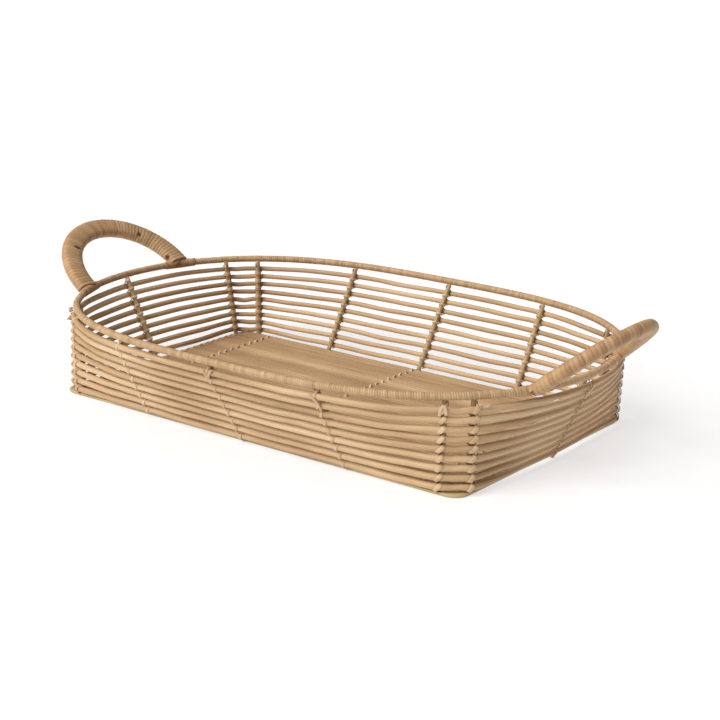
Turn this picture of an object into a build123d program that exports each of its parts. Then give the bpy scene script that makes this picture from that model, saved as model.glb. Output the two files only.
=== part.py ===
from build123d import *
from math import atan2, copysign, cos, pi, radians, sin, tan
import os

# Oval rattan serving tray, in millimetres. The long side runs along X, Z is up, and the tray
# rests on the flat underside of its base frame at Z = 0. X = Y = 0 is the middle of the oval rim.
#
# A flat base frame carries sixteen upright stakes. Nine closed rods go round the outside of the
# stakes, and a strip of cane lashes them to each stake. The rods follow a rectangle with cut
# corners near the base and open out into the oval of the rim, which sits on the stakes' heads.
# The floor is a bed of long rods stitched to three slats. A loop handle, two canes side by side
# in a flat wrapping, stands up and out from each end of the rim.

# Base: a rectangle through the feet of the stakes, its corners cut for the rods
base_half_length = 230.0
base_half_width = 127.5
base_centre_y = -4.0        # the base sits a little forward of the middle of the rim
corner_cut_x = 21.0
corner_cut_y = 14.0
short_wall_bulge = 3.0
left_wall_shift = -4.5      # the middle stake of the left wall stands forward of its middle

# Rim: a superellipse with its own exponent for each axis
rim_half_length = 273.5
rim_half_width = 175.5
rim_power_x = 3.0
rim_power_y = 2.06
rim_height = 83.5
rim_core_radius = 2.0
rim_radius = 3.4            # outside of the wrapping

# Base frame: a flat strip on edge of the floor
frame_inset = 5.0
frame_outset = 3.0
frame_height = 3.0
frame_corner_radius = 14.0

# Side rods
rod_count = 9
rod_radius = 2.4
rod_pitch = 8.2
lowest_rod_height = 7.0
rod_outset = 2.2            # from the wall line to the middle of a rod
points_per_bay = 3          # points on a rod between two stakes
arc_share = 0.45            # share of a straight run that each arc may take

# Stakes
stake_radius = 2.3
stake_spacing = 115.0
stake_foot_shift = 2.0
front_head_shift = -6.0     # the front stakes lean a little to the left
back_head_shift = 4.0       # and the back ones to the right
corner_head_x = 213.0
corner_head_y = 108.0
joint_gap = 0.2             # air between a stake and the rods tied to it

# Cane lashings
cane_radius = 0.8
cane_bend = 1.6
cane_tail_height = 1.9
cane_tail_lean = 2.3        # the loose lower end stands off the frame's edge

# Floor
slat_width = 12.0
slat_thickness = 1.8
slat_spacing = 188.0
floor_rod_count = 52
floor_rod_radius = 2.05
floor_rod_pitch = 4.7
floor_end_gap = 0.5
edge_rod_trim = 8.0         # the outermost floor rods stop short of the cut corners
stitch_width = 2.4
stitch_thickness = 0.8
stitch_tip = 0.7            # how far a stitch dips between two rods
tie_reach = 6.5             # how far an end tie reaches over the floor rods

# Handles
handle_half_width = 65.0
handle_reaches = {"left": 69.5, "right": 66.0}
handle_tilts = {"left": 35.0, "right": 40.0}    # degrees above level, outward
handle_cane_radius = 4.5
handle_width = 21.4         # wrapped grip, across the two canes
handle_thickness = 12.4
binding_radius = 4.6
binding_half_length = 17.0
binding_clearance = 0.25

wall_height = rim_height
floor_rod_height = slat_thickness + floor_rod_radius
floor_top = slat_thickness + 2 * floor_rod_radius
floor_half_length = base_half_length - frame_inset - floor_end_gap
rod_reach = rod_radius + stake_radius + joint_gap

os.makedirs("parts", exist_ok=True)


def save(part, name):
    """Label one finished sub-part and write it."""
    part.label = name
    export_step(part, f"parts/{name}.step")


# ---------------------------------------------------------------- the wall and its outlines


def power(value, exponent):
    """Signed power, as a superellipse needs it."""
    return copysign(abs(value) ** exponent, value)


def rim_point(angle):
    return Vector(
        rim_half_length * power(cos(angle), 2 / rim_power_x),
        rim_half_width * power(sin(angle), 2 / rim_power_y),
    )


def rim_angle(point):
    """The rim's own angle at a point of the rim."""
    return atan2(
        power(point.Y / rim_half_width, rim_power_y / 2),
        power(point.X / rim_half_length, rim_power_x / 2),
    )


def rim_y_at(x):
    return rim_half_width * (1 - abs(x / rim_half_length) ** rim_power_x) ** (1 / rim_power_y)


def rim_x_at(y):
    return rim_half_length * (1 - abs(y / rim_half_width) ** rim_power_y) ** (1 / rim_power_x)


def long_wall(side, head_shift):
    """Foot and head of the five stakes of a long wall, from left to right."""
    corner_foot_x = base_half_length - corner_cut_x
    inner = [-stake_spacing, 0, stake_spacing]
    feet_x = [-corner_foot_x] + [x + stake_foot_shift for x in inner] + [corner_foot_x]
    heads_x = [-corner_head_x] + [x + head_shift for x in inner] + [corner_head_x]
    foot_y = base_centre_y + side * base_half_width
    feet = [Vector(x, foot_y) for x in feet_x]
    heads = [Vector(x, side * rim_y_at(x)) for x in heads_x]
    return list(zip(feet, heads))


def short_wall(side):
    """Foot and head of the three stakes of a short wall, from front to back."""
    corner_foot_y = base_half_width - corner_cut_y
    middle_y = left_wall_shift if side < 0 else 0.0
    feet_x = [base_half_length, base_half_length + short_wall_bulge, base_half_length]
    feet_y = [base_centre_y + y for y in (-corner_foot_y, middle_y, corner_foot_y)]
    heads_y = [base_centre_y + y for y in (-corner_head_y, middle_y, corner_head_y)]
    feet = [Vector(side * x, y) for x, y in zip(feet_x, feet_y)]
    heads = [Vector(side * rim_x_at(y), y) for y in heads_y]
    return list(zip(feet, heads))


walls = {
    "front": long_wall(-1, front_head_shift),
    "right": short_wall(1),
    "back": long_wall(1, back_head_shift)[::-1],
    "left": short_wall(-1)[::-1],
}
stake_names = [f"{wall}_{i + 1}" for wall, ends in walls.items() for i in range(len(ends))]
stake_ends = [pair for ends in walls.values() for pair in ends]
stake_count = len(stake_ends)


def corner(points, i):
    """Outward direction, shorter run and turn, in radians, at one corner of a closed loop."""
    run_in = points[i] - points[i - 1]
    run_out = points[(i + 1) % len(points)] - points[i]
    along = run_in.normalized() + run_out.normalized()
    outward = Vector(along.Y, -along.X).normalized()
    turn = radians(run_in.get_angle(run_out))
    return outward, min(run_in.length, run_out.length), turn


def wall_loop(height, outset):
    """Closed loop of points round the wall at a height, moved outward by outset."""
    rise = height / wall_height
    loop = []
    for i in range(stake_count):
        foot, head = stake_ends[i]
        next_foot, next_head = stake_ends[(i + 1) % stake_count]
        sweep_angle = (rim_angle(next_head) - rim_angle(head)) % (2 * pi)
        for step in range(points_per_bay):
            share = step / points_per_bay
            at_base = foot + (next_foot - foot) * share
            at_rim = rim_point(rim_angle(head) + sweep_angle * share)
            loop.append(at_base + (at_rim - at_base) * rise)
    lift = Vector(0, 0, height)
    return [point + corner(loop, i)[0] * outset + lift for i, point in enumerate(loop)]


def arc_radius(points, i):
    """The largest arc that the two runs at a corner leave room for."""
    outward, run, turn = corner(points, i)
    return arc_share * run / tan(turn / 2)


def tangent_loop(points):
    """Closed path of runs and arcs, its corners moved out so that the arcs pass the points."""
    corners = []
    for i, point in enumerate(points):
        outward, run, turn = corner(points, i)
        corners.append(point + outward * arc_radius(points, i) * (1 / cos(turn / 2) - 1))
    radii = [arc_radius(corners, i) for i in range(len(corners))]
    return FilletPolyline(*corners, radius=radii, close=True)


def ring(points, radius, bore=0.0):
    """A round rod or tube bent into a closed loop."""
    with BuildPart() as rod:
        with BuildLine() as path:
            tangent_loop(points)
        loop = path.wires()[0]
        with BuildSketch(Plane(origin=loop @ 0, z_dir=loop % 0)):
            Circle(radius)
            if bore:
                Circle(bore, mode=Mode.SUBTRACT)
        sweep(path=loop)
    return rod.part


# ---------------------------------------------------------------- base frame and floor

base_middle = Location((0, base_centre_y, 0))

with BuildPart() as base_frame:
    with BuildSketch():
        with Locations(base_middle):
            RectangleRounded(
                2 * (base_half_length + frame_outset),
                2 * (base_half_width + frame_outset),
                frame_corner_radius,
            )
            RectangleRounded(
                2 * (base_half_length - frame_inset),
                2 * (base_half_width - frame_inset),
                frame_corner_radius - frame_inset,
                mode=Mode.SUBTRACT,
            )
    extrude(amount=frame_height)
save(base_frame.part, "base_frame")

slat_length = 2 * (base_half_width - frame_inset)
slat_places = {"left": -slat_spacing, "middle": 0.0, "right": slat_spacing}
for place, x in slat_places.items():
    with BuildPart() as slat:
        with Locations((x, base_centre_y, 0)):
            Box(slat_width, slat_length, slat_thickness, align=(Align.CENTER, Align.CENTER, Align.MIN))
    save(slat.part, f"floor_slat_{place}")

with BuildPart() as floor_rods:
    with BuildSketch(Plane.YZ.offset(-floor_half_length)):
        with Locations((base_centre_y, floor_rod_height)):
            with GridLocations(floor_rod_pitch, 0, floor_rod_count, 1):
                Circle(floor_rod_radius)
    extrude(amount=2 * floor_half_length)
    with Locations(base_middle):
        with GridLocations(2 * floor_half_length, (floor_rod_count - 1) * floor_rod_pitch, 2, 2):
            Box(2 * edge_rod_trim, floor_rod_pitch, 4 * floor_top, mode=Mode.SUBTRACT)
save(floor_rods.part, "floor_rods")

# Each stitch crosses two floor rods and dips at both ends into the valleys beside them
pair_pitch = 2 * floor_rod_pitch
pair_count = floor_rod_count // 2
stitch_half = floor_rod_pitch - 0.2
tip_inner = floor_rod_pitch - 0.7
stitch_outline = [
    (-stitch_half, floor_top - stitch_tip),
    (-tip_inner, floor_top - stitch_tip),
    (-tip_inner + 0.5, floor_top),
    (tip_inner - 0.5, floor_top),
    (tip_inner, floor_top - stitch_tip),
    (stitch_half, floor_top - stitch_tip),
    (stitch_half - 0.8, floor_top + stitch_thickness),
    (-stitch_half + 0.8, floor_top + stitch_thickness),
]
pair_ys = [base_centre_y + (i - (pair_count - 1) / 2) * pair_pitch for i in range(pair_count)]
with BuildPart() as floor_stitches:
    for x in slat_places.values():
        with BuildSketch(Plane.YZ.offset(x - stitch_width / 2)):
            for pair_y in pair_ys:
                with BuildLine():
                    Polyline(*[(pair_y + y, z) for y, z in stitch_outline], close=True)
                make_face()
        extrude(amount=stitch_width)
save(floor_stitches.part, "floor_stitches")

# Each end tie holds the ends of two floor rods down to the frame, clear of the stakes' feet
frame_edge = base_half_length - frame_inset
tie_outline = [
    (frame_edge + 1.8, frame_height),
    (frame_edge + 0.3, frame_height),
    (floor_half_length + 0.1, floor_top),
    (floor_half_length - tie_reach, floor_top),
    (floor_half_length - tie_reach, floor_top + stitch_thickness),
    (floor_half_length + 0.1, floor_top + stitch_thickness),
    (frame_edge + 1.2, frame_height + stitch_thickness),
    (frame_edge + 1.8, frame_height + stitch_thickness),
]
foot_clearance = stake_radius + stitch_width
foot_ys = [foot.Y for wall in ("left", "right") for foot, head in walls[wall]]
tie_ys = [y + floor_rod_pitch / 2 for y in pair_ys]
tie_ys = [y for y in tie_ys if min(foot_ys) < y < max(foot_ys)]
tie_ys = [y for y in tie_ys if min(abs(y - foot_y) for foot_y in foot_ys) > foot_clearance]
with BuildPart() as floor_end_ties:
    for y in tie_ys:
        with BuildSketch(Plane.XZ.offset(-y - stitch_width / 2)):
            with BuildLine():
                Polyline(*tie_outline, close=True)
            make_face()
        extrude(amount=stitch_width)
    mirror(about=Plane.YZ)
save(floor_end_ties.part, "floor_end_ties")

# ---------------------------------------------------------------- rim and side rods

rim_loop = wall_loop(rim_height, 0.0)
save(ring(rim_loop, rim_core_radius), "rim_core")
save(ring(rim_loop, rim_radius, rim_core_radius), "rim_wrap")

rod_heights = [lowest_rod_height + i * rod_pitch for i in range(rod_count)]
for i, height in enumerate(rod_heights):
    save(ring(wall_loop(height, rod_outset), rod_radius), f"side_rod_{i + 1}")

# ---------------------------------------------------------------- stakes and their lashings


def stake_axes(index):
    """Foot and head on a stake's axis, with its up, sideways and outward directions."""
    foot, head = stake_ends[index]
    outward = corner(wall_loop(wall_height / 2, 0), index * points_per_bay)[0]
    wall_foot = Vector(foot.X, foot.Y, 0)
    wall_head = Vector(head.X, head.Y, wall_height)
    up = (wall_head - wall_foot).normalized()
    sideways = up.cross(outward).normalized()
    facing = sideways.cross(up)
    if facing.dot(outward) < 0:
        facing = -facing
    level_reach = rod_reach / facing.dot(outward)
    inset = outward * (rod_outset - level_reach)
    return wall_foot + inset, wall_head + inset, up, sideways, facing


def at_height(origin, direction, height):
    """The point of a line at a height."""
    return origin + direction * ((height - origin.Z) / direction.Z)


def make_stake(index):
    """A stake, flat where it stands on the frame and hollowed under the rim."""
    foot, head, up, sideways, facing = stake_axes(index)
    rim_here = stake_ends[index][1]
    tangent_step = 0.01
    angle = rim_angle(rim_here)
    tangent = rim_point(angle + tangent_step) - rim_point(angle - tangent_step)
    rim_centre = Vector(rim_here.X, rim_here.Y, rim_height)
    with BuildPart() as stake:
        with BuildSketch(Plane(origin=foot - up * stake_radius, z_dir=up)):
            Circle(stake_radius)
        extrude(amount=(head - foot).length + stake_radius)
        split(bisect_by=Plane.XY.offset(frame_height), keep=Keep.TOP)
        split(bisect_by=Plane.XY.offset(rim_height - rim_radius / 2), keep=Keep.BOTTOM)
        with BuildSketch(Plane(origin=rim_centre, z_dir=tangent)):
            Circle(rim_radius + joint_gap)
        extrude(amount=4 * stake_radius, both=True, mode=Mode.SUBTRACT)
    return stake.part


def make_lashing(index):
    """Cane that crosses each rod on the slant outside and goes back behind the stake."""
    foot, head, up, sideways, facing = stake_axes(index)
    behind = -(stake_radius + cane_radius)
    before = rod_reach + rod_radius + cane_radius
    aside = stake_radius + cane_radius
    above = rod_radius + cane_radius + joint_gap
    half_pitch = rod_pitch / up.Z / 2
    route = []
    for height in rod_heights:
        crossing = at_height(foot, up, height - rod_reach * facing.Z)
        turns = [
            (-aside, behind, -half_pitch),
            (-aside, before, -above),
            (aside, before, above),
            (aside, behind, half_pitch),
        ]
        route += [crossing + sideways * s + facing * f + up * u for s, f, u in turns]
    tail = Vector(route[1].X, route[1].Y, cane_tail_height) + facing * cane_tail_lean
    route = [tail] + route[1:]
    with BuildPart() as lashing:
        with BuildLine() as path:
            FilletPolyline(*route, radius=cane_bend)
        strip = path.wires()[0]
        with BuildSketch(Plane(origin=strip @ 0, z_dir=strip % 0)):
            Circle(cane_radius)
        sweep(path=strip)
    return lashing.part


for i, name in enumerate(stake_names):
    save(make_stake(i), f"stake_{name}")
    save(make_lashing(i), f"lashing_{name}")

# ---------------------------------------------------------------- handles


def rim_stretch(side, end, radius, bore=0.0):
    """The stretch of rod or tube round the rim where one end of a handle stands on it."""
    middle_y = base_centre_y + end * handle_half_width
    ys = [middle_y - binding_half_length, middle_y, middle_y + binding_half_length]
    with BuildPart() as stretch:
        with BuildLine() as path:
            ThreePointArc(*[(side * rim_x_at(y), y, rim_height) for y in ys])
        arc = path.wires()[0]
        with BuildSketch(Plane(origin=arc @ 0, z_dir=arc % 0)):
            Circle(radius)
            if bore:
                Circle(bore, mode=Mode.SUBTRACT)
        sweep(path=arc)
    return stretch.part


def handle_loop(side_name, radius):
    """Line of a handle: two short legs and a half turn, in the handle's own leaning plane."""
    side = 1 if side_name == "right" else -1
    chord_x = rim_x_at(handle_half_width)
    tilt = radians(handle_tilts[side_name])
    origin = Vector(side * chord_x, base_centre_y, rim_height)
    out = Vector(side * cos(tilt), 0, sin(tilt))
    across = Vector(0, 1, 0)
    plane = Plane(origin=origin, x_dir=across, z_dir=across.cross(out))
    leg = handle_reaches[side_name] - handle_half_width
    with BuildLine(plane) as path:
        Line((radius, 0), (radius, leg))
        CenterArc((0, leg), radius, 0, 180)
        Line((-radius, leg), (-radius, 0))
    return path.wires()[0], plane


for side_name, side in (("left", -1), ("right", 1)):
    with BuildPart() as canes:
        for cane_offset in (-handle_cane_radius, handle_cane_radius):
            loop, handle_plane = handle_loop(side_name, handle_half_width + cane_offset)
            with BuildSketch(Plane(origin=loop @ 0, z_dir=loop % 0)):
                Circle(handle_cane_radius)
            sweep(path=loop)
        for end in (-1, 1):
            add(rim_stretch(side, end, binding_radius), mode=Mode.SUBTRACT)
    save(canes.part, f"handle_{side_name}_canes")

    loop, handle_plane = handle_loop(side_name, handle_half_width)
    with BuildPart() as wrap:
        with BuildSketch(Plane(origin=loop @ 0, x_dir=handle_plane.x_dir, z_dir=loop % 0)):
            SlotOverall(handle_width, handle_thickness)
            SlotOverall(4 * handle_cane_radius, 2 * handle_cane_radius, mode=Mode.SUBTRACT)
        sweep(path=loop)
        for end in (-1, 1):
            add(rim_stretch(side, end, binding_radius), mode=Mode.SUBTRACT)
    save(wrap.part, f"handle_{side_name}_wrap")

    for end_name, end in (("front", -1), ("back", 1)):
        binding = rim_stretch(side, end, binding_radius, rim_radius + binding_clearance)
        save(binding, f"binding_{side_name}_{end_name}")
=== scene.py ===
import math

import bmesh
import bpy
import numpy as np
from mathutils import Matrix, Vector


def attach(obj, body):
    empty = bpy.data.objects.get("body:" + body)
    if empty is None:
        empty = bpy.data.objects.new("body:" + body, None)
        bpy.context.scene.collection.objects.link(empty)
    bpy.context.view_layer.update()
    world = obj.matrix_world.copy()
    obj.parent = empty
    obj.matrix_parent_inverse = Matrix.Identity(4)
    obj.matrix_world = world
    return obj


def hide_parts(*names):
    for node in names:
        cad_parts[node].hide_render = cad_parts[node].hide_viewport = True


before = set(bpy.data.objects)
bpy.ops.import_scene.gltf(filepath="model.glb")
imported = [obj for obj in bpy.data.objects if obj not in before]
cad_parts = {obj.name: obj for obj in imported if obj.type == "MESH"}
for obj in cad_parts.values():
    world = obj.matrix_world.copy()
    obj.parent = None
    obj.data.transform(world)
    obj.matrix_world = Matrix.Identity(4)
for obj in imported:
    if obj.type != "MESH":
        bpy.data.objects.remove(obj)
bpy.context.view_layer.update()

# ---------------------------------------------------------------- sizes, in millimetres

MM = 0.001
TAU = 2 * math.pi
UP = np.array([0.0, 0.0, 1.0])

# Wall outlines: the base is a rectangle with cut corners, the rim is a superellipse
BASE_HALF_LENGTH, BASE_HALF_WIDTH, BASE_CENTRE_Y = 230.0, 127.5, -4.0
CORNER_CUT_X, CORNER_CUT_Y, SHORT_WALL_BULGE = 21.0, 14.0, 3.0
LEFT_WALL_SHIFT = -4.5      # the middle stake of the left wall stands forward of its middle
RIM_HALF_LENGTH, RIM_HALF_WIDTH, RIM_HEIGHT = 273.5, 175.5, 83.5
RIM_POWER_X, RIM_POWER_Y = 3.0, 2.06
RIM_RADIUS, RIM_PITCH = 3.4, 2.1

# Side rods, stakes and their lashings
ROD_COUNT, ROD_RADIUS, ROD_PITCH, LOWEST_ROD, ROD_OUTSET = 9, 2.4, 8.2, 7.0, 2.2
POINTS_PER_BAY = 3
FRONT_SWELL = 0.21          # the rods are stouter along the front
STAKE_RADIUS, STAKE_SPACING, STAKE_FOOT_SHIFT = 2.3, 115.0, 2.0
FRONT_HEAD_SHIFT, BACK_HEAD_SHIFT = -6.0, 4.0
CORNER_HEAD_X, CORNER_HEAD_Y = 213.0, 108.0
JOINT_GAP = 0.2             # air between a stake and the rods tied to it
ROD_REACH = ROD_RADIUS + STAKE_RADIUS + JOINT_GAP
CANE_THICKNESS = 1.0

# Base frame and floor
FRAME_INSET, FRAME_OUTSET, FRAME_HEIGHT, FRAME_CORNER = 5.0, 3.0, 3.0, 14.0
FRAME_SLIMMING = 0.8        # taken off the strip's outer edge
SLAT_WIDTH, SLAT_THICKNESS, SLAT_SPACING = 12.0, 1.8, 188.0
FLOOR_ROD_COUNT, FLOOR_ROD_RADIUS, FLOOR_ROD_PITCH = 52, 2.05, 4.7
FLOOR_TOP = SLAT_THICKNESS + 2 * FLOOR_ROD_RADIUS
FLOOR_END_GAP = 0.5
FLOOR_HALF_LENGTH = BASE_HALF_LENGTH - FRAME_INSET - FLOOR_END_GAP
STITCH_HALF_WIDTH, STITCH_HALF_THICKNESS = 1.15, 0.36

# Handles
GRIP_PITCH, BINDING_PITCH = 3.6, 2.3
HANDLE_HALF_WIDTH = 65.0
HANDLE_REACHES = {"left": 69.5, "right": 66.0}
HANDLE_TILTS = {"left": 35.0, "right": 40.0}
HANDLE_CANE_RADIUS, HANDLE_WIDTH, HANDLE_THICKNESS = 4.5, 21.4, 12.4
BINDING_RADIUS, BINDING_HALF_LENGTH = 4.6, 17.0


# ---------------------------------------------------------------- curves


def unit(v):
    v = np.asarray(v, float)
    return v / np.linalg.norm(v, axis=-1, keepdims=True)


def spline(points, per_span, closed=False):
    """A smooth curve through points: centripetal Catmull-Rom, as Hermite spans."""
    p = np.asarray(points, float)
    if closed:
        p = np.vstack([p[-1], p, p[:2]])
    else:
        p = np.vstack([2 * p[0] - p[1], p, 2 * p[-1] - p[-2]])
    gap = np.maximum(np.linalg.norm(np.diff(p[:, :3], axis=0), axis=1), 1e-6) ** 0.5
    t = np.linspace(0, 1, per_span, endpoint=False)[:, None]
    spans = []
    for i in range(1, len(p) - 2):
        a, b, c, d = p[i - 1], p[i], p[i + 1], p[i + 2]
        g0, g1, g2 = gap[i - 1], gap[i], gap[i + 1]
        leave = g1 * ((b - a) / g0 - (c - a) / (g0 + g1) + (c - b) / g1)
        arrive = g1 * ((c - b) / g1 - (d - b) / (g1 + g2) + (d - c) / g2)
        spans.append(
            (2 * t**3 - 3 * t**2 + 1) * b
            + (t**3 - 2 * t**2 + t) * leave
            + (3 * t**2 - 2 * t**3) * c
            + (t**3 - t**2) * arrive
        )
    if not closed:
        spans.append(p[-2][None, :])
    return np.vstack(spans)


class Track:
    """A path with its length, which gives place, normal and side at any distance along it."""

    def __init__(self, points, normals, closed=False):
        points = np.asarray(points, float)
        normals = np.broadcast_to(np.asarray(normals, float), points.shape)
        if closed:
            points = np.vstack([points, points[:1]])
            normals = np.vstack([normals, normals[:1]])
        self.points, self.closed = points, closed
        steps = np.linalg.norm(np.diff(points, axis=0), axis=1)
        self.at = np.concatenate([[0], np.cumsum(steps)])
        self.length = self.at[-1]
        if closed:
            ahead = np.vstack([points[1:], points[1:2]])
            behind = np.vstack([points[-2:-1], points[:-1]])
            tangents = ahead - behind
        else:
            tangents = np.gradient(points, axis=0)
        self.tangents = unit(tangents)
        normals = normals - (normals * self.tangents).sum(1)[:, None] * self.tangents
        self.normals = unit(normals)

    def look(self, s):
        s = np.asarray(s, float)
        s = s % self.length if self.closed else np.clip(s, 0, self.length)

        def read(rows):
            return np.stack([np.interp(s, self.at, rows[:, k]) for k in range(3)], -1)

        place, tangent = read(self.points), unit(read(self.tangents))
        normal = read(self.normals)
        normal = unit(normal - (normal * tangent).sum(-1)[..., None] * tangent)
        return place, normal, np.cross(tangent, normal), tangent


def drift(rng, s, length, reach, closed=True):
    """Smooth random wandering between about -1 and 1, with waves of about reach and longer."""
    most = max(2, int(length / reach))
    waves = rng.integers(1, most + 1, 9)
    if not closed:
        waves = waves + rng.random(9)
    phases = rng.random(9) * TAU
    total = sum(np.sin(TAU * w * s / length + p) for w, p in zip(waves, phases))
    return total / 4.5


def beads(rng, t, count):
    """Random value for each whole number, blended smoothly between them."""
    values = rng.random(count + 2)
    whole = np.floor(t).astype(int) % count
    part = t - np.floor(t)
    part = part * part * (3 - 2 * part)
    return values[whole] * (1 - part) + values[(whole + 1) % count] * part


# ---------------------------------------------------------------- meshes


class Shape:
    """Gathers swept canes into one mesh with the cane's own coordinates, tone and painted shade."""

    def __init__(self):
        self.verts, self.faces, self.cane, self.tone, self.shade = [], [], [], [], []
        self.count = 0

    def add(self, verts, faces, cane, tone, shade):
        verts = np.asarray(verts, float).reshape(-1, 3)
        n = len(verts)
        self.verts.append(verts)
        self.faces += [[k + self.count for k in face] for face in faces]
        self.cane.append(np.asarray(cane, float).reshape(-1, 3))
        self.tone.append(np.broadcast_to(np.asarray(tone, float), (n,)))
        self.shade.append(np.broadcast_to(np.asarray(shade, float), (n,)))
        self.count += n

    def piece(self, name, material, slot, nodes):
        mesh = bpy.data.meshes.new(name)
        verts = np.vstack(self.verts) * MM
        mesh.from_pydata(verts.tolist(), [], self.faces)
        cane = mesh.attributes.new("cane", "FLOAT_VECTOR", "POINT")
        cane.data.foreach_set("vector", (np.vstack(self.cane) * MM).ravel())
        for label, values in (("tone", self.tone), ("shade", self.shade)):
            layer = mesh.attributes.new(label, "FLOAT", "POINT")
            layer.data.foreach_set("value", np.concatenate(values))
        work = bmesh.new()
        work.from_mesh(mesh)
        bmesh.ops.recalc_face_normals(work, faces=work.faces)
        work.to_mesh(mesh)
        work.free()
        mesh.polygons.foreach_set("use_smooth", np.ones(len(mesh.polygons), bool))
        mesh.materials.append(material)
        piece = bpy.data.objects.new(name, mesh)
        bpy.context.scene.collection.objects.link(piece)
        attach(piece, "root")
        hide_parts(*nodes)
        return piece


def round_section(count):
    angle = np.arange(count) * TAU / count
    return np.stack([np.cos(angle), np.sin(angle)], 1)


def strip_section(half_width, half_thickness, count=12, power=0.62):
    """Flat cane: wide along the side direction, thin along the normal, softly squared."""
    ring = round_section(count)
    ring = np.sign(ring) * np.abs(ring) ** power
    return ring * [half_thickness, half_width]


def sweep(shape, track, section, spacing, tone=0.5, shade=0.0, scale=None, start=0.0):
    """Sweeps a section, given as normal and side, along a track. Open ends are domed."""
    count = max(3, int(round(track.length / spacing)))
    s = np.arange(count) * track.length / count if track.closed else np.linspace(0, track.length, count)
    place, normal, side, tangent = track.look(s)
    size = np.ones(len(s)) if scale is None else scale(s)
    size = np.broadcast_to(size, (len(s),)).astype(float)
    tone = tone(s) if callable(tone) else np.full(len(s), float(tone))
    shade = shade(s) if callable(shade) else np.full(len(s), float(shade))
    if not track.closed:
        reach = np.abs(section).max() * 0.35
        place = np.vstack([place[:1] - tangent[:1] * reach, place, place[-1:] + tangent[-1:] * reach])
        normal, side = (np.vstack([v[:1], v, v[-1:]]) for v in (normal, side))
        size = np.concatenate([size[:1] * 0.62, size, size[-1:] * 0.62])
        tone, shade, s = (np.concatenate([v[:1], v, v[-1:]]) for v in (tone, shade, s))
    n, m = len(s), len(section)
    x = section[None, :, 0] * size[:, None]
    y = section[None, :, 1] * size[:, None]
    verts = place[:, None] + x[..., None] * normal[:, None] + y[..., None] * side[:, None]
    cane = np.stack([np.broadcast_to((s + start)[:, None], x.shape), x, y], -1)
    faces = []
    for i in range(n if track.closed else n - 1):
        a, b = i * m, (i + 1) % n * m
        faces += [(a + j, a + (j + 1) % m, b + (j + 1) % m, b + j) for j in range(m)]
    if not track.closed:
        faces.append(tuple(range(m))[::-1])
        faces.append(tuple(range((n - 1) * m, n * m)))
    shape.add(verts, faces, cane, np.repeat(tone, m), np.repeat(shade, m))


WOUND_COLUMNS = np.array([0.0, 0.07, 0.24, 0.5, 0.76, 0.93])


def wound(shape, track, outline, pitch, around, groove, rng, openings=(), loose=0.3, dark=1.0, swell=None):
    """Flat cane wound side by side round a track, each turn a crowned band with a groove; dark sets how
    strongly the grooves are painted with shade.

    outline gives the section's point and outward direction at an angle. openings lists
    (turn, angle, half width in radians, depth) where the turns part and sink, with painted shade inside the
    gap.
    """
    turns = int(round(track.length / pitch))
    pitch = track.length / turns
    total = turns * around if track.closed else (turns - 1) * around + 1
    columns = len(WOUND_COLUMNS)
    turn = (np.arange(total) / around)[:, None] + WOUND_COLUMNS[None, :]
    angle = np.broadcast_to((TAU * np.arange(total) / around)[:, None], turn.shape)
    strand = np.broadcast_to((np.arange(total) / around)[:, None], turn.shape)
    crown = 1 - np.abs(2 * WOUND_COLUMNS - 1) ** 3.0
    height = beads(rng, strand * 2, turns * 2)
    lean = beads(rng, strand * 2 + 0.5, turns * 2) - 0.5
    fall = groove * (1 - crown[None, :]) * (0.75 + 0.5 * height) + groove * loose * height
    fall = fall + groove * loose * 1.6 * lean * (WOUND_COLUMNS[None, :] - 0.5)
    # painted shade: the sides of each band and the grooves between turns are darkened in colour, scaled by
    # dark
    shade = dark * (1 - crown[None, :]) ** 2 * (0.35 + 0.5 * height)
    slip = np.zeros_like(turn)
    for at, where, reach, depth in openings:
        off = np.abs((angle - where + math.pi) % TAU - math.pi)
        window = np.clip(1 - (off / reach) ** 2, 0, 1)
        before = np.clip(1 - np.abs(turn - at) / 0.55, 0, 1) * window
        fall = fall + depth * before**0.6
        # painted shade: the parted turns are painted dark inside the opening
        shade = np.maximum(shade, np.clip(before * 1.8, 0, 1))
        slip = slip + 0.25 * window * np.sign(turn - at) * np.exp(-((turn - at) ** 2) / 2)
    place, normal, side, _ = track.look((turn + slip) * pitch)
    point, out = outline(angle)
    if swell is not None:
        point = point * swell(turn / turns)[..., None]
    x = point[..., 0] - out[..., 0] * fall
    y = point[..., 1] - out[..., 1] * fall
    verts = place + x[..., None] * normal + y[..., None] * side
    girth = np.linalg.norm(np.diff(outline(np.linspace(0, TAU, 97))[0], axis=0), axis=1).sum()
    across = (WOUND_COLUMNS[None, :] - 0.5) * pitch
    cane = np.stack([strand * girth, across + np.zeros_like(turn), fall], -1)
    faces = []
    limit = total if track.closed else total - 1
    for i in range(limit):
        a, b = i * columns, (i + 1) % total * columns
        faces += [(a + j, b + j, b + j + 1, a + j + 1) for j in range(columns - 1)]
    last = columns - 1
    for i in range(total if track.closed else total - 1 - around):
        a, b = i * columns + last, (i + 1) % total * columns + last
        c, d = (i + 1 + around) % total * columns, (i + around) % total * columns
        faces.append((a, b, c, d))
    tone = beads(rng, strand, turns) * 0.75 + 0.25 * beads(rng, strand * 3, turns * 3)
    if not track.closed:
        first = [i * columns for i in range(around + 1)] + list(range(last, 0, -1))
        end = [i * columns + last for i in range(total - 1 - around, total)]
        end += [(total - 1) * columns + j for j in range(last - 1, -1, -1)]
        faces += [first, end]
    shape.add(verts, faces, cane, tone.ravel(), np.clip(shade, 0, 1).ravel())


def circle_outline(radius):
    def outline(angle):
        out = np.stack([np.cos(angle), np.sin(angle)], -1)
        return out * radius, out

    return outline


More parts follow.
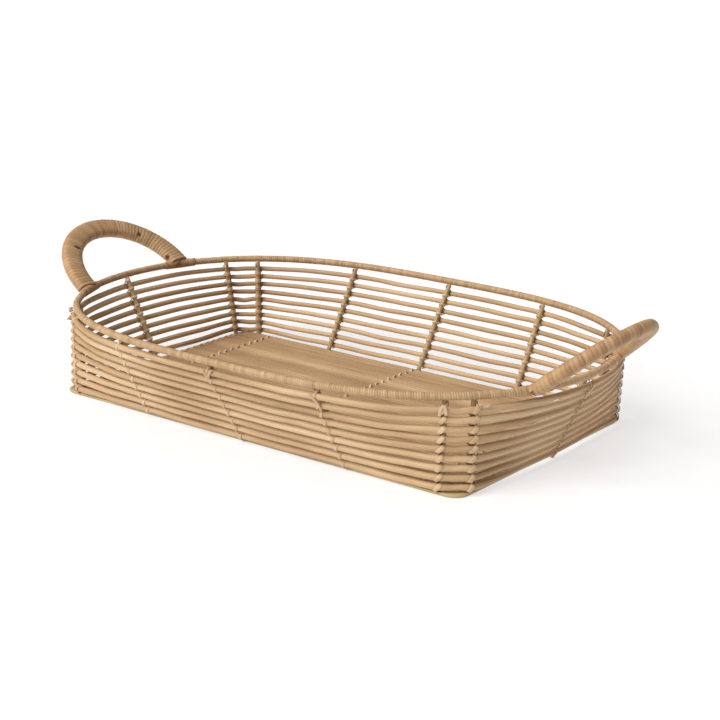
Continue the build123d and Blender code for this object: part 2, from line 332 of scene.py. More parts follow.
def slot_outline(width, thickness):
    """A flat oval: two half rounds joined by straight runs, by angle round it."""
    flat, radius = (width - thickness) / 2, thickness / 2

    def outline(angle):
        out = np.stack([np.sin(angle), np.cos(angle)], -1)
        squared = np.clip(np.cos(angle) * 2.2, -1, 1)
        point = out * radius + np.stack([np.zeros_like(squared), squared * flat], -1)
        return point, out

    return outline


# ---------------------------------------------------------------- materials


def linear(red, green, blue):
    def one(value):
        value /= 255
        return value / 12.92 if value <= 0.04045 else ((value + 0.055) / 1.055) ** 2.4

    return (one(red), one(green), one(blue), 1.0)


class Surface:
    """A material under construction: short calls that add and join nodes."""

    def __init__(self, name):
        self.material = bpy.data.materials.new(name)
        self.material.use_nodes = True
        self.tree = self.material.node_tree
        self.shader = self.tree.nodes["Principled BSDF"]

    def put(self, socket, value):
        if isinstance(value, bpy.types.NodeSocket):
            self.tree.links.new(value, socket)
        elif value is not None:
            socket.default_value = value

    def node(self, kind, *values, **settings):
        node = self.tree.nodes.new(kind)
        for key, value in settings.items():
            setattr(node, key, value)
        for socket, value in zip(node.inputs, values):
            self.put(socket, value)
        return node

    def maths(self, operation, *values):
        return self.node("ShaderNodeMath", *values, operation=operation).outputs[0]

    def noise(self, vector, scale, detail=3.0, roughness=0.55):
        node = self.node("ShaderNodeTexNoise", vector, None, scale, detail, roughness)
        return node.outputs[0]

    def stretched(self, vector, along, across):
        node = self.node("ShaderNodeVectorMath", vector, (along, across, across), operation="MULTIPLY")
        return node.outputs[0]

    def ramp(self, value, stops):
        node = self.node("ShaderNodeValToRGB", value)
        elements = node.color_ramp.elements
        while len(elements) < len(stops):
            elements.new(0.5)
        for element, (position, colour) in zip(elements, stops):
            element.position = position
            element.color = colour
        return node.outputs[0]

    def mix(self, share, first, second, blend="MIX"):
        node = self.node("ShaderNodeMix", data_type="RGBA", blend_type=blend)
        for socket, value in zip((node.inputs[0], node.inputs[6], node.inputs[7]), (share, first, second)):
            self.put(socket, value)
        return node.outputs[2]


def rattan(name, deep, middle, pale, tone_share=0.5, streaks=0.55, mottle=0.5, sheen=0.35, rough=0.5):
    """Natural rattan: fibres along the cane, slow mottling, pores, painted shade in creases, satin skin."""
    s = Surface(name)
    cane = s.node("ShaderNodeAttribute", attribute_name="cane").outputs["Vector"]
    tone = s.node("ShaderNodeAttribute", attribute_name="tone").outputs["Fac"]
    shade = s.node("ShaderNodeAttribute", attribute_name="shade").outputs["Fac"]
    place = s.node("ShaderNodeTexCoord").outputs["Object"]
    fibres = s.noise(s.stretched(cane, 55.0, 2300.0), 1.0, 3.0, 0.6)
    patches = s.noise(s.stretched(cane, 16.0, 170.0), 1.0, 4.0, 0.6)
    pores = s.noise(s.stretched(cane, 420.0, 1700.0), 1.0, 1.0, 0.4)
    broad = s.noise(place, 11.0, 2.0, 0.5)
    hue = s.noise(place, 29.0, 2.0, 0.5)
    value = s.maths("MULTIPLY_ADD", tone, tone_share, 0.5 - tone_share / 2)
    for part, share in ((fibres, streaks), (patches, mottle), (broad, 0.45)):
        lift = s.maths("MULTIPLY_ADD", part, share, -share / 2)
        value = s.maths("ADD", value, lift)
    colour = s.ramp(value, [(0.08, deep), (0.5, middle), (0.88, pale)])
    olive = s.ramp(hue, [(0.4, (1, 1, 1, 1)), (0.72, (0.97, 1.0, 0.91, 1))])
    colour = s.mix(0.7, colour, olive, "MULTIPLY")
    pore_mask = s.ramp(pores, [(0.68, (0, 0, 0, 1)), (0.8, (0.3, 0.3, 0.3, 1))])
    colour = s.mix(pore_mask, colour, tuple(c * 0.45 for c in deep[:3]) + (1,))
    # painted shade: the shade attribute darkens grooves and creases toward a deep brown
    painted_crease_shade = tuple(c * 0.22 for c in deep[:3]) + (1,)
    colour = s.mix(shade, colour, painted_crease_shade)
    s.put(s.shader.inputs["Base Color"], colour)
    s.put(s.shader.inputs["Roughness"], s.maths("MULTIPLY_ADD", fibres, 0.3, rough - 0.15))
    s.shader.inputs["Specular IOR Level"].default_value = sheen
    grain = s.maths("MULTIPLY_ADD", patches, 0.8, fibres)
    grain = s.maths("SUBTRACT", grain, s.maths("MULTIPLY", pore_mask, 0.8))
    bump = s.node("ShaderNodeBump", 0.45, 0.00018)
    s.put(bump.inputs["Height"], grain)
    s.put(s.shader.inputs["Normal"], bump.outputs[0])
    return s.material


def wire_material():
    """Drawn steel wire with a little rust, inside the rim's winding."""
    s = Surface("rim_wire")
    place = s.node("ShaderNodeTexCoord").outputs["Object"]
    rust = s.noise(place, 240.0, 4.0, 0.6)
    colour = s.ramp(rust, [(0.42, (0.32, 0.31, 0.3, 1)), (0.7, (0.2, 0.1, 0.05, 1))])
    s.put(s.shader.inputs["Base Color"], colour)
    s.shader.inputs["Metallic"].default_value = 1.0
    s.put(s.shader.inputs["Roughness"], s.maths("MULTIPLY_ADD", rust, 0.5, 0.2))
    return s.material


def skin(name, deep, middle, pale, **settings):
    """Rattan in three tones, each given as red, green and blue from 0 to 255."""
    return rattan(name, linear(*deep), linear(*middle), linear(*pale), **settings)


rod_skin = skin("rod_rattan", (155, 119, 84), (198, 164, 126), (223, 196, 161))
stake_skin = skin("stake_rattan", (128, 102, 68), (176, 148, 108), (206, 180, 140))
floor_skin = skin(
    "floor_rattan", (128, 96, 63), (167, 133, 96), (195, 165, 127), streaks=0.3, mottle=0.3
)
frame_skin = skin("frame_cane", (146, 126, 88), (188, 166, 124), (212, 192, 152))
tie_skin = skin("binding_cane", (156, 121, 86), (203, 170, 134), (230, 202, 168), sheen=0.45)
rim_skin = skin(
    "rim_cane", (150, 115, 77), (190, 156, 117), (214, 183, 146),
    tone_share=0.4, streaks=0.3, mottle=0.4,
)
sleeve_skin = skin("sleeve_cane", (140, 103, 68), (182, 144, 105), (206, 172, 132), tone_share=0.4)
grip_skin = skin(
    "handle_wrapping", (150, 112, 76), (186, 147, 107), (206, 170, 130), streaks=0.3, mottle=0.35
)
core_skin = skin("handle_cane", (104, 72, 42), (150, 112, 74), (180, 142, 100))


# ---------------------------------------------------------------- the wall's outlines


def power(value, exponent):
    return math.copysign(abs(value) ** exponent, value)


def rim_point(angle):
    x = RIM_HALF_LENGTH * power(math.cos(angle), 2 / RIM_POWER_X)
    y = RIM_HALF_WIDTH * power(math.sin(angle), 2 / RIM_POWER_Y)
    return np.array([x, y, 0.0])


def rim_angle(point):
    return math.atan2(
        power(point[1] / RIM_HALF_WIDTH, RIM_POWER_Y / 2),
        power(point[0] / RIM_HALF_LENGTH, RIM_POWER_X / 2),
    )


def rim_y_at(x):
    return RIM_HALF_WIDTH * (1 - abs(x / RIM_HALF_LENGTH) ** RIM_POWER_X) ** (1 / RIM_POWER_Y)


def rim_x_at(y):
    return RIM_HALF_LENGTH * (1 - abs(y / RIM_HALF_WIDTH) ** RIM_POWER_Y) ** (1 / RIM_POWER_X)


def long_wall(side, head_shift):
    corner_x = BASE_HALF_LENGTH - CORNER_CUT_X
    inner = [-STAKE_SPACING, 0, STAKE_SPACING]
    feet = [-corner_x] + [x + STAKE_FOOT_SHIFT for x in inner] + [corner_x]
    heads = [-CORNER_HEAD_X] + [x + head_shift for x in inner] + [CORNER_HEAD_X]
    foot_y = BASE_CENTRE_Y + side * BASE_HALF_WIDTH
    return [
        (np.array([f, foot_y, 0.0]), np.array([h, side * rim_y_at(h), 0.0]))
        for f, h in zip(feet, heads)
    ]


def short_wall(side):
    corner_y = BASE_HALF_WIDTH - CORNER_CUT_Y
    middle_y = LEFT_WALL_SHIFT if side < 0 else 0.0
    feet_x = [BASE_HALF_LENGTH, BASE_HALF_LENGTH + SHORT_WALL_BULGE, BASE_HALF_LENGTH]
    pairs = []
    heads_y = (-CORNER_HEAD_Y, middle_y, CORNER_HEAD_Y)
    for x, foot_y, head_y in zip(feet_x, (-corner_y, middle_y, corner_y), heads_y):
        foot = np.array([side * x, BASE_CENTRE_Y + foot_y, 0.0])
        y = BASE_CENTRE_Y + head_y
        pairs.append((foot, np.array([side * rim_x_at(y), y, 0.0])))
    return pairs


WALLS = {
    "front": long_wall(-1, FRONT_HEAD_SHIFT),
    "right": short_wall(1),
    "back": long_wall(1, BACK_HEAD_SHIFT)[::-1],
    "left": short_wall(-1)[::-1],
}
STAKE_NAMES = [f"{wall}_{i + 1}" for wall, ends in WALLS.items() for i in range(len(ends))]
STAKE_ENDS = [pair for ends in WALLS.values() for pair in ends]
STAKE_COUNT = len(STAKE_ENDS)


def outward_of(loop):
    """Outward direction at each point of a closed loop, level."""
    after = unit(np.roll(loop, -1, 0) - loop)
    before = unit(loop - np.roll(loop, 1, 0))
    along = unit(after + before)
    return unit(np.stack([along[:, 1], -along[:, 0], np.zeros(len(loop))], 1))


def wall_loop(height, outset):
    rise = height / RIM_HEIGHT
    loop = []
    for i in range(STAKE_COUNT):
        foot, head = STAKE_ENDS[i]
        next_foot, next_head = STAKE_ENDS[(i + 1) % STAKE_COUNT]
        turn = (rim_angle(next_head) - rim_angle(head)) % TAU
        for step in range(POINTS_PER_BAY):
            share = step / POINTS_PER_BAY
            at_base = foot + (next_foot - foot) * share
            at_rim = rim_point(rim_angle(head) + turn * share)
            loop.append(at_base + (at_rim - at_base) * rise)
    loop = np.array(loop)
    return loop + outward_of(loop) * outset + UP * height


ROD_HEIGHTS = [LOWEST_ROD + i * ROD_PITCH for i in range(ROD_COUNT)]
MIDDLE_OUT = outward_of(wall_loop(RIM_HEIGHT / 2, 0) * [1, 1, 0])


def stake_axes(index):
    foot, head = STAKE_ENDS[index]
    outward = MIDDLE_OUT[index * POINTS_PER_BAY]
    top = head + UP * RIM_HEIGHT
    up = unit(top - foot)
    sideways = unit(np.cross(up, outward))
    facing = np.cross(sideways, up)
    if facing @ outward < 0:
        facing = -facing
    inset = outward * (ROD_OUTSET - ROD_REACH / (facing @ outward))
    return foot + inset, top + inset, up, sideways, facing


def at_height(origin, direction, height):
    return origin + direction * ((height - origin[2]) / direction[2])


# ---------------------------------------------------------------- side rods


def make_rod(number, height):
    rng = np.random.default_rng(100 + number)
    per_span = 14
    path = spline(wall_loop(height, ROD_OUTSET), per_span, closed=True)
    out = outward_of(path)
    count = len(path)
    s = np.arange(count) / count
    bay = (np.arange(count) / (per_span * POINTS_PER_BAY)) % 1
    free = 0.25 + 0.75 * np.sin(math.pi * bay) ** 2
    rise = drift(rng, s, 1.0, 0.045) * 0.75 * free - 0.35 * np.sin(math.pi * bay) ** 2
    sway = drift(rng, s, 1.0, 0.05) * 0.55 * free
    path = path + UP * rise[:, None] + out * sway[:, None]
    track = Track(path, UP, closed=True)
    swell = rng.random(3) * TAU

    def scale(at):
        turn = at / track.length * TAU
        wave = np.sin(7 * turn + swell[0]) + np.sin(17 * turn + swell[1]) + np.sin(41 * turn + swell[2])
        front = np.clip(0.5 - track.look(at)[0][:, 1] / 180, 0, 1)
        return 0.99 + 0.014 * wave + FRONT_SWELL * front

    base_tone = rng.uniform(0.25, 0.75)
    tones = np.random.default_rng(300 + number)

    def tone(at):
        return np.clip(base_tone + 0.3 * drift(tones, at, track.length, 160.0), 0, 1)

    shape = Shape()
    sweep(shape, track, round_section(12) * ROD_RADIUS, 2.6, tone=tone, scale=scale)
    node = f"side_rod_{number}"
    shape.piece(f"{node}_natural", rod_skin, "rod_rattan", [node])


for number, height in enumerate(ROD_HEIGHTS, 1):
    make_rod(number, height)


# ---------------------------------------------------------------- stakes


def make_stake(index, name):
    rng = np.random.default_rng(500 + index)
    foot, _, up, sideways, facing = stake_axes(index)
    start = at_height(foot, up, FRAME_HEIGHT + 0.3)
    stop = at_height(foot, up, RIM_HEIGHT - RIM_RADIUS * 0.72)
    shares = np.linspace(0, 1, 12)[:, None]
    wave = np.sin(shares * math.pi) * np.sin(shares * 7 + rng.random() * 6)
    path = start + (stop - start) * shares + sideways * wave * 0.35 - facing * np.abs(wave) * 0.2
    track = Track(spline(path, 5), facing)
    tone = rng.uniform(0.3, 0.7)
    shape = Shape()
    sweep(shape, track, round_section(14) * STAKE_RADIUS * 0.98, 2.0, tone=tone, start=index * 90.0)
    shape.piece(f"stake_{name}_natural", stake_skin, "stake_rattan", [f"stake_{name}"])


# ---------------------------------------------------------------- lashings


CORNER_STAKES = ("front_1", "front_5", "right_1", "right_3", "back_1", "back_5", "left_1", "left_3")


# Loose cane ends by stake: runs of (sideways, outward past the cane, height)
LOOSE_ENDS = {
    "front_3": [
        [(0.4, -0.9, 69.5), (-0.4, 0.4, 72.5), (-1.0, 0.6, 76.5), (-1.4, 0.2, 79.5)],
        [(0.0, -0.6, 70.5), (1.6, 0.5, 73.0), (4.8, 0.3, 76.0), (7.6, -0.6, 78.5)],
    ],
    "front_4": [
        [(-3.8, -0.4, 78.0), (-1.2, 0.3, 76.5), (1.9, 0.8, 72.5), (2.9, 0.5, 67.5), (2.0, -0.2, 63.0)],
    ],
    "front_5": [
        [(-2.6, 0.0, 68.5), (-1.7, 0.6, 74.0), (0.3, 0.7, 77.0), (2.1, 0.5, 74.5), (2.7, 0.0, 69.5)],
    ],
    "right_1": [[(0.6, -0.5, 76.5), (3.4, 0.5, 76.0), (7.2, 0.9, 75.6), (10.2, 1.4, 76.6)]],
    "left_3": [[(-1.0, 0.0, 68.5), (0.0, 1.8, 68.6), (1.0, 4.2, 67.0)]],
    "right_2": [[(0.0, 0.2, 70.0), (1.2, 1.2, 73.5), (3.0, 1.0, 77.5)]],
}
# Knots by stake: sideways, outward from the stake's axis, height, size
KNOTS = {
    "front_1": [(1.0, 6.0, 4.6, 1.7)],
    "front_3": [(0.5, 6.0, 5.6, 1.5)],
    "front_4": [(1.5, 6.2, 6.0, 1.9)],
    "right_1": [(1.5, 9.0, 75.8, 1.7)],
    "right_2": [(0.5, 6.0, 5.8, 1.8)],
    "right_3": [(0.0, 6.2, 4.8, 1.9)],
    "left_3": [(0.0, 8.8, 76.6, 2.3), (0.4, 9.2, 68.6, 1.9)],
}


def knot(shape, centre, side, out, rise, size, tone):
    """A small pulled knot: a three-lobed closed loop of cane, with a little painted shade."""
    t = np.arange(48)[:, None] * TAU / 48
    loop = side * (np.sin(t) + 2 * np.sin(2 * t)) + rise * (np.cos(t) - 2 * np.cos(2 * t))
    path = centre + (loop - out * 1.6 * np.sin(3 * t)) * size / 3
    normals = unit(path - centre + out * 0.3)
    # painted shade: shade 0.12 darkens the knot's colour
    sweep(shape, Track(path, normals, closed=True), strip_section(0.85, 0.5, 8), 0.5, tone=tone, shade=0.12)


def make_lashing(index, name):
    """Split cane that crosses each rod on the slant outside and passes back behind the stake."""
    rng = np.random.default_rng(700 + index)
    foot, _, up, sideways, facing = stake_axes(index)
    corner = name in CORNER_STAKES
    half_width = 1.9 if corner else 1.3
    half_thickness = CANE_THICKNESS / 2
    clear = half_thickness + 0.05
    behind = -(STAKE_RADIUS + clear)
    beside = STAKE_RADIUS + clear
    before = ROD_REACH + ROD_RADIUS + clear
    lift = ROD_RADIUS + clear
    half_pitch = ROD_PITCH / up[2] / 2
    rows = []
    for height in ROD_HEIGHTS:
        crossing = at_height(foot, up, height - ROD_REACH * facing[2])
        lean = rng.uniform(-0.25, 0.25)
        wide = (2.2 if corner else 1.3) * rng.uniform(0.8, 1.2)
        climb = ROD_RADIUS * (0.95 if corner else 0.8)
        steps = [
            (-1.2, behind, -half_pitch, 0, -1, 0),
            (-beside, 0.0, -half_pitch, -1, 0, 0),
            (-wide, ROD_REACH * 0.95, -lift - 0.1, -0.6, 0, -1),
            (-wide * 0.8, before - 0.35, -climb, -0.2, 1, -0.7),
            (lean, before + 0.12, lean * 0.5, 0, 1, 0),
            (wide * 0.8, before - 0.35, climb, 0.2, 1, 0.7),
            (wide, ROD_REACH * 0.95, lift + 0.1, 0.6, 0, 1),
            (beside, 0.0, half_pitch, 1, 0, 0),
            (1.2, behind, half_pitch, 0, -1, 0),
        ]
        for a, f, u, na, nf, nu in steps:
            point = crossing + sideways * a + facing * f + up * u
            normal = sideways * na + facing * nf + up * nu
            rows.append(np.concatenate([point, unit(normal)]))
    rows = rows[2:]
    curve = spline(rows, 4)
    track = Track(curve[:, :3], curve[:, 3:])
    base_tone = rng.uniform(0.4, 0.75)
    spots = np.random.default_rng(900 + index)

    def tone(at):
        return np.clip(base_tone + 0.3 * drift(spots, at, track.length, 12.0, closed=False), 0, 1)

    shape = Shape()
    section = strip_section(half_width, half_thickness)
    sweep(shape, track, section, 0.85, tone=tone, start=index * 310.0)
    for run in LOOSE_ENDS.get(name, []):
        line = [at_height(foot, up, z) + sideways * a + facing * (before + f) for a, f, z in run]
        end = Track(spline(line, 6), facing)
        sweep(shape, end, strip_section(min(1.35, half_width), 0.5, 10), 0.8, tone=base_tone)
    for a, f, z, size in KNOTS.get(name, []):
        centre = at_height(foot, up, z) + sideways * a + facing * f
        # painted shade: the knots' tone is lowered by 0.2 because they sit in shadow
        knot(shape, centre, sideways, facing, up, size, base_tone - 0.2)
    shape.piece(f"lashing_{name}_natural", tie_skin, "binding_cane", [f"lashing_{name}"])


for index, name in enumerate(STAKE_NAMES):
    make_stake(index, name)
    make_lashing(index, name)


# ---------------------------------------------------------------- rim


def make_rim():
    rng = np.random.default_rng(11)
    path = spline(wall_loop(RIM_HEIGHT, 0.0), 14, closed=True)
    track = Track(path, UP, closed=True)
    shape = Shape()
    wound(shape, track, circle_outline(RIM_RADIUS), RIM_PITCH, 14, 0.34, rng, dark=0.55)
    shape.piece("rim_wrap_natural", rim_skin, "rim_cane", ["rim_wrap"])


make_rim()


# ---------------------------------------------------------------- handles


def handle_track(side_name, radius):
    """The line of a handle in its leaning plane, from its front end to its back end."""
    side = 1 if side_name == "right" else -1
    chord_x = rim_x_at(HANDLE_HALF_WIDTH)
    tilt = math.radians(HANDLE_TILTS[side_name])
    origin = np.array([side * chord_x, BASE_CENTRE_Y, RIM_HEIGHT])
    out = np.array([side * math.cos(tilt), 0, math.sin(tilt)])
    across = np.array([0.0, 1.0, 0.0])
    above = np.cross(out, across) * side
    leg = HANDLE_REACHES[side_name] - HANDLE_HALF_WIDTH
    flat = [(-radius, leg * k / 3) for k in range(3)]
    flat += [(-radius * math.cos(a), leg + radius * math.sin(a)) for a in np.linspace(0, math.pi, 60)]
    flat += [(radius, y) for _, y in flat[: len(flat) - 60][::-1]]
    points = np.array([origin + across * a + out * b for a, b in flat])
    return Track(points, above)


# Gaps in the winding of each grip, sunk in and painted dark as shade: turn, angle round the grip, half
# width and depth
GRIP_OPENINGS = {
    "left": [
        (15.5, 1.3, 0.3, 1.2), (43.6, 1.1, 0.35, 1.4), (21.5, 4.6, 0.3, 1.0),
        (2.4, 0.2, 0.6, 2.0), (55.6, 0.2, 0.6, 2.0),
    ],
    "right": [(16.5, 4.3, 0.5, 1.8), (38.5, 4.4, 0.4, 1.6), (24.5, 1.3, 0.3, 0.9)],
}


def make_handle(side_name, side):
    rng = np.random.default_rng(21 if side < 0 else 22)
    track = handle_track(side_name, HANDLE_HALF_WIDTH)
    shape = Shape()
    outline = slot_outline(HANDLE_WIDTH, HANDLE_THICKNESS)
    openings = GRIP_OPENINGS[side_name]
    wound(shape, track, outline, GRIP_PITCH, 30, 0.32, rng, openings, loose=0.4, dark=0.42)
    node = f"handle_{side_name}_wrap"
    shape.piece(f"{node}_natural", grip_skin, "handle_wrapping", [node])

    shape = Shape()
    for offset in (-HANDLE_CANE_RADIUS, HANDLE_CANE_RADIUS):
        cane = handle_track(side_name, HANDLE_HALF_WIDTH + offset)
        sweep(shape, cane, round_section(14) * (HANDLE_CANE_RADIUS - 0.1), 3.0, tone=0.4, start=offset * 60)
    node = f"handle_{side_name}_canes"
    shape.piece(f"{node}_natural", core_skin, "handle_cane", [node])

    def sleeve(share):
        return 0.84 + 0.15 * np.sin(math.pi * np.clip(share, 0, 1)) ** 0.6

    for end_name, end in (("front", -1), ("back", 1)):
        middle_y = BASE_CENTRE_Y + end * HANDLE_HALF_WIDTH
        ys = np.linspace(middle_y - BINDING_HALF_LENGTH, middle_y + BINDING_HALF_LENGTH, 24)
        points = np.array([(side * rim_x_at(y), y, RIM_HEIGHT) for y in ys])
        shape = Shape()
        outline = circle_outline(BINDING_RADIUS)
        wound(
            shape, Track(points, UP), outline, BINDING_PITCH, 20, 0.3, rng,
            loose=0.6, dark=0.7, swell=sleeve,
        )
        node = f"binding_{side_name}_{end_name}"
        shape.piece(f"{node}_natural", sleeve_skin, "binding_cane", [node])


make_handle("left", -1)
make_handle("right", 1)


# ---------------------------------------------------------------- base frame and floor


def rounded_rectangle(half_x, half_y, radius, spacing=6.0):
    points = []
    corners = [(1, -1, -math.pi / 2), (1, 1, 0), (-1, 1, math.pi / 2), (-1, -1, math.pi)]
    for sx, sy, start in corners:
        centre = (sx * (half_x - radius), sy * (half_y - radius))
        for a in np.linspace(start, start + math.pi / 2, 10):
            points.append((centre[0] + radius * math.cos(a), centre[1] + radius * math.sin(a), 0))
    closed = np.vstack([points, points[:1]])
    at = np.concatenate([[0], np.cumsum(np.linalg.norm(np.diff(closed, axis=0), axis=1))])
    s = np.arange(0, at[-1] - spacing / 2, spacing)
    return np.stack([np.interp(s, at, closed[:, k]) for k in range(3)], 1)


def make_base_frame():
    middle = (FRAME_OUTSET - FRAME_INSET) / 2
    half_width = (FRAME_OUTSET + FRAME_INSET) / 2 - FRAME_SLIMMING / 2
    middle -= FRAME_SLIMMING / 2
    path = rounded_rectangle(
        BASE_HALF_LENGTH + middle, BASE_HALF_WIDTH + middle, FRAME_CORNER - (FRAME_OUTSET - middle)
    )
    path = path + [0, BASE_CENTRE_Y, FRAME_HEIGHT / 2]
    track = Track(path, UP, closed=True)
    shape = Shape()
    section = strip_section(half_width, FRAME_HEIGHT / 2, 16, 0.42)
    tones = np.random.default_rng(32)
    sweep(shape, track, section, 4.0, tone=lambda at: 0.5 + 0.3 * drift(tones, at, track.length, 90.0))
    shape.piece("base_frame_natural", frame_skin, "frame_cane", ["base_frame"])


def make_slats():
    reach = BASE_HALF_WIDTH - FRAME_INSET
    for place, x in (("left", -SLAT_SPACING), ("middle", 0.0), ("right", SLAT_SPACING)):
        ys = np.linspace(-reach + 0.6, reach - 0.6, 30) + BASE_CENTRE_Y
        points = np.array([(x, y, SLAT_THICKNESS / 2) for y in ys])
        shape = Shape()
        section = strip_section(SLAT_WIDTH / 2, SLAT_THICKNESS / 2 - 0.02, 16, 0.35)
        sweep(shape, Track(points, UP), section, 6.0, tone=0.45, start=x * 3)
        node = f"floor_slat_{place}"
        shape.piece(f"{node}_natural", floor_skin, "floor_rattan", [node])


def make_floor_rods(rng):
    shape = Shape()
    first_y = BASE_CENTRE_Y - (FLOOR_ROD_COUNT - 1) / 2 * FLOOR_ROD_PITCH
    for i in range(FLOOR_ROD_COUNT):
        y = first_y + i * FLOOR_ROD_PITCH
        stepped = 2.4 if i // 2 % 2 else 0.0        # every other pair stops short on the left
        reach_left = FLOOR_HALF_LENGTH - rng.uniform(0, 1.0) - stepped
        reach_right = FLOOR_HALF_LENGTH - rng.uniform(0, 1.6)
        xs = np.linspace(-reach_left, reach_right, 40)
        sway = drift(rng, xs + 230, 460.0, 90.0, closed=False) * 0.22
        radius = FLOOR_ROD_RADIUS * rng.uniform(0.94, 1.0)
        points = np.stack([xs, y + sway, np.full_like(xs, SLAT_THICKNESS + radius)], 1)
        broad_tone = 0.35 * drift(np.random.default_rng(43), float(i), 52.0, 5.0)
        base_tone = np.clip(0.5 + broad_tone + rng.uniform(-0.18, 0.18), 0, 1)
        tones = np.random.default_rng(430 + i)

        def tone(at):
            return np.clip(base_tone + 0.12 * drift(tones, at, 450.0, 60.0, closed=False), 0, 1)

        section = round_section(10) * radius
        sweep(shape, Track(points, UP), section, 4.5, tone=tone, start=i * 470.0)
    shape.piece("floor_rods_natural", floor_skin, "floor_rattan", ["floor_rods"])


def floor_pair_ys():
    """Middle of each pair of floor rods."""
    pairs = FLOOR_ROD_COUNT // 2
    return [BASE_CENTRE_Y + (i - (pairs - 1) / 2) * 2 * FLOOR_ROD_PITCH for i in range(pairs)]


def make_stitches(rng):
    """A slanted stitch over each pair of floor rods, at each slat."""
    half = FLOOR_ROD_PITCH
    line = [
        (-half + 0.1, 4.3), (-half + 0.5, 5.5), (-half / 2 - 0.4, 6.25), (0, 6.15),
        (half / 2 + 0.4, 6.25), (half - 0.5, 5.5), (half - 0.1, 4.3),
    ]
    turn = [
        (0, -1, 0.3), (0, -0.8, 1), (0, -0.2, 1), (0, 0, 1), (0, 0.2, 1), (0, 0.8, 1), (0, 1, 0.3),
    ]
    shape = Shape()
    for x in (-SLAT_SPACING, 0.0, SLAT_SPACING):
        for k, y in enumerate(floor_pair_ys()):
            slant = -2.0 + rng.uniform(-0.7, 0.7)
            points = np.array([
                (x + slant * a / half, y + 0.8 * a, z + rng.uniform(-0.05, 0.1)) for a, z in line
            ])
            curve = spline(np.hstack([points, unit(turn)]), 4)
            half_width = STITCH_HALF_WIDTH * rng.uniform(0.85, 1.15)
            section = strip_section(half_width, STITCH_HALF_THICKNESS, 8)
            track = Track(curve[:, :3], curve[:, 3:])
            sweep(shape, track, section, 0.8, tone=rng.uniform(0.2, 0.75), start=k * 15.0)
    shape.piece("floor_stitches_natural", tie_skin, "binding_cane", ["floor_stitches"])


def make_end_ties(rng):
    """Ties from the ends of the floor rods down to the frame, clear of the stakes' feet."""
    edge = BASE_HALF_LENGTH - FRAME_INSET
    line = [
        (FLOOR_HALF_LENGTH - 6.3, FLOOR_TOP + 0.45), (FLOOR_HALF_LENGTH - 3, FLOOR_TOP + 0.5),
        (FLOOR_HALF_LENGTH - 0.4, FLOOR_TOP + 0.3), (edge + 0.7, FLOOR_TOP - 1.2),
        (edge + 1.5, FRAME_HEIGHT + 0.5),
    ]
    turn = [(0, 0, 1), (0.1, 0, 1), (0.5, 0, 1), (1, 0, 0.7), (0.8, 0, 0.8)]
    foot_ys = [foot[1] for foot, _ in WALLS["right"]]
    section = strip_section(STITCH_HALF_WIDTH, STITCH_HALF_THICKNESS, 8)
    shape = Shape()
    for side in (-1, 1):
        normals = unit([(side * a, b, c) for a, b, c in turn])
        for pair_y in floor_pair_ys():
            y = pair_y + FLOOR_ROD_PITCH / 2
            if min(abs(y - foot_y) for foot_y in foot_ys) < STAKE_RADIUS + 2.4:
                continue
            points = np.array([(side * a, y + rng.uniform(-0.2, 0.2), z) for a, z in line])
            curve = spline(np.hstack([points, normals]), 4)
            track = Track(curve[:, :3], curve[:, 3:])
            sweep(shape, track, section, 0.9, tone=rng.uniform(0.3, 0.9))
    shape.piece("floor_end_ties_natural", tie_skin, "binding_cane", ["floor_end_ties"])


make_base_frame()
make_slats()
floor_rng = np.random.default_rng(41)
make_floor_rods(floor_rng)
make_stitches(floor_rng)
make_end_ties(floor_rng)

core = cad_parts["rim_core"]
core.data.materials.clear()
core.data.materials.append(wire_material())


# ---------------------------------------------------------------- floor, light and camera


def aim(thing, target):
    thing.rotation_euler = (Vector(target) - thing.location).to_track_quat("-Z", "Y").to_euler()


def sun_light(name, azimuth, elevation, strength, softness, colour):
    """Even soft light; azimuth 0 comes from straight in front of the tray, positive from its right."""
    data = bpy.data.lights.new(name, "SUN")
    data.energy, data.angle, data.color = strength, math.radians(softness), colour
    light = bpy.data.objects.new(name, data)
    bpy.context.scene.collection.objects.link(light)
    a, e = math.radians(azimuth), math.radians(elevation)
    light.location = Vector((math.sin(a) * math.cos(e), -math.cos(a) * math.cos(e), math.sin(e))) * 3
    aim(light, (0, 0, 0))


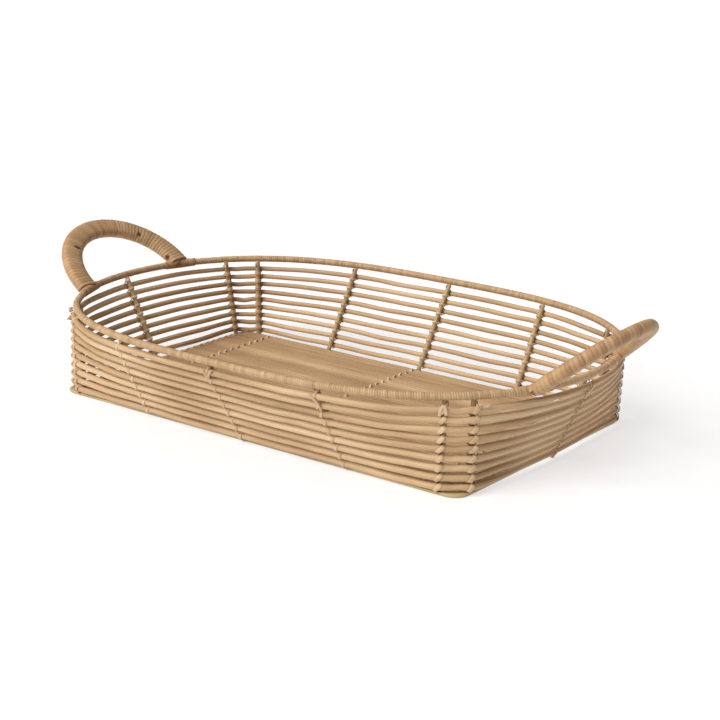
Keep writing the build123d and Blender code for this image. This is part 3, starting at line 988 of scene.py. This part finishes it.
def paper(name, glow):
    """White paper; the part outside the tray also glows a little, as an overlit studio table."""
    sheet = Surface(name)
    speck = sheet.noise(sheet.node("ShaderNodeTexCoord").outputs["Object"], 40.0, 2.0, 0.5)
    colour = sheet.ramp(speck, [(0.3, (0.36, 0.36, 0.36, 1)), (0.7, (0.39, 0.39, 0.39, 1))])
    sheet.put(sheet.shader.inputs["Base Color"], colour)
    sheet.shader.inputs["Roughness"].default_value = 0.9
    sheet.shader.inputs["Emission Color"].default_value = (1, 1, 1, 1)
    sheet.shader.inputs["Emission Strength"].default_value = glow
    return sheet.material


ground_mesh = bpy.data.meshes.new("ground")
GROUND_REACH = 30.0         # metres
UNDER_INSET = 8.0           # the dull part of the ground ends this far inside the base
under_x, under_y = (BASE_HALF_LENGTH - UNDER_INSET) * MM, (BASE_HALF_WIDTH - UNDER_INSET) * MM
corners = [(-1, -1), (1, -1), (1, 1), (-1, 1)]
outer = [(x * GROUND_REACH, y * GROUND_REACH, 0) for x, y in corners]
inner = [(x * under_x, y * under_y + BASE_CENTRE_Y * MM, 0) for x, y in corners]
sheets = [(k, (k + 1) % 4, (k + 1) % 4 + 4, k + 4) for k in range(4)]
ground_mesh.from_pydata(outer + inner, [], sheets + [(4, 5, 6, 7)])
ground_mesh.materials.append(paper("ground", 0.62))
ground_mesh.materials.append(paper("ground_under_tray", 0.0))
ground_mesh.polygons.foreach_set("material_index", [0, 0, 0, 0, 1])
ground = bpy.data.objects.new("ground", ground_mesh)
bpy.context.scene.collection.objects.link(ground)

scene = bpy.context.scene
world = bpy.data.worlds.new("studio")
scene.world = world
world.use_nodes = True
world.node_tree.nodes["Background"].inputs["Color"].default_value = (1.0, 0.99, 0.97, 1)
world.node_tree.nodes["Background"].inputs["Strength"].default_value = 0.17
scene.view_settings.view_transform = "Standard"

sun_light("key", -20.0, 42.0, 3.15, 50.0, (1.0, 0.985, 0.96))
sun_light("top", -150.0, 78.0, 0.75, 60.0, (1.0, 0.995, 0.99))

camera_data = bpy.data.cameras.new("camera")
camera_data.sensor_width = 36.0
camera_data.lens = 87.75
camera = bpy.data.objects.new("camera", camera_data)
scene.collection.objects.link(camera)
azimuth, elevation, distance = math.radians(38.31), math.radians(16.94), 1.698
target = Vector((-0.0216, 0.0589, 0.0248))
back = Vector((
    math.sin(azimuth) * math.cos(elevation),
    -math.cos(azimuth) * math.cos(elevation),
    math.sin(elevation),
))
camera.location = target + back * distance
aim(camera, target)
scene.camera = camera
